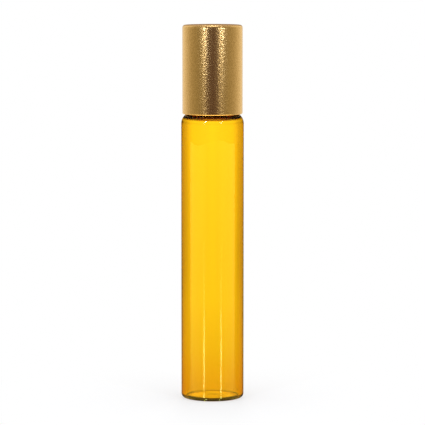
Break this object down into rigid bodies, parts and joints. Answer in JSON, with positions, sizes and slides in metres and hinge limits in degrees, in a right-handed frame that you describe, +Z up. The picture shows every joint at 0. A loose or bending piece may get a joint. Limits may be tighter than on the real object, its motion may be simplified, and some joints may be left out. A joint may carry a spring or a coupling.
{
  "type": "roll-on bottle",
  "caption": "Slim amber glass roll-on bottle, closed by a tall gold metal screw cap over a steel ball in a plastic housing.",
  "frame": {"origin": "centre of the base, on the plane that the bottle stands on", "axes": "+Z up along the bottle's axis, towards the cap; X and Y across the round tube"},
  "size_m": [0.016, 0.016, 0.096],
  "materials": {
    "amber_glass": "clear glossy glass, dyed amber yellow in the mass",
    "housing_plastic": "smooth natural polyethylene, slightly see-through",
    "ball_steel": "polished stainless steel",
    "pad_foam": "matt closed-cell foam",
    "liner_plastic": "smooth white polypropylene",
    "gold_aluminium": "fine satin, anodised pale gold"
  },
  "bodies": {
    "bottle": {"glass_bottle": "amber_glass", "ball_housing": "housing_plastic"},
    "ball": {"roller_ball": "ball_steel"},
    "pad": {"seal_pad": "pad_foam"},
    "cap": {"cap_liner": "liner_plastic", "cap_shell": "gold_aluminium"}
  },
  "joints": [
    {"name": "ball_roll", "type": "hinge", "parent": "bottle", "child": "ball", "pos_m": [0, 0, 0.0892], "axis": [1, 0, 0], "continuous": true},
    {"name": "cap_rise", "type": "slide", "parent": "bottle", "child": "pad", "axis": [0, 0, 1], "range_m": [0, 0.024]},
    {"name": "cap_turn", "type": "hinge", "parent": "pad", "child": "cap", "pos_m": [0, 0, 0.0846], "axis": [0, 0, 1], "range_deg": [0, 2880]}
  ],
  "couplings": [
    {"joint": "cap_turn", "follows": "cap_rise", "rad_per_m": 2094.4}
  ]
}
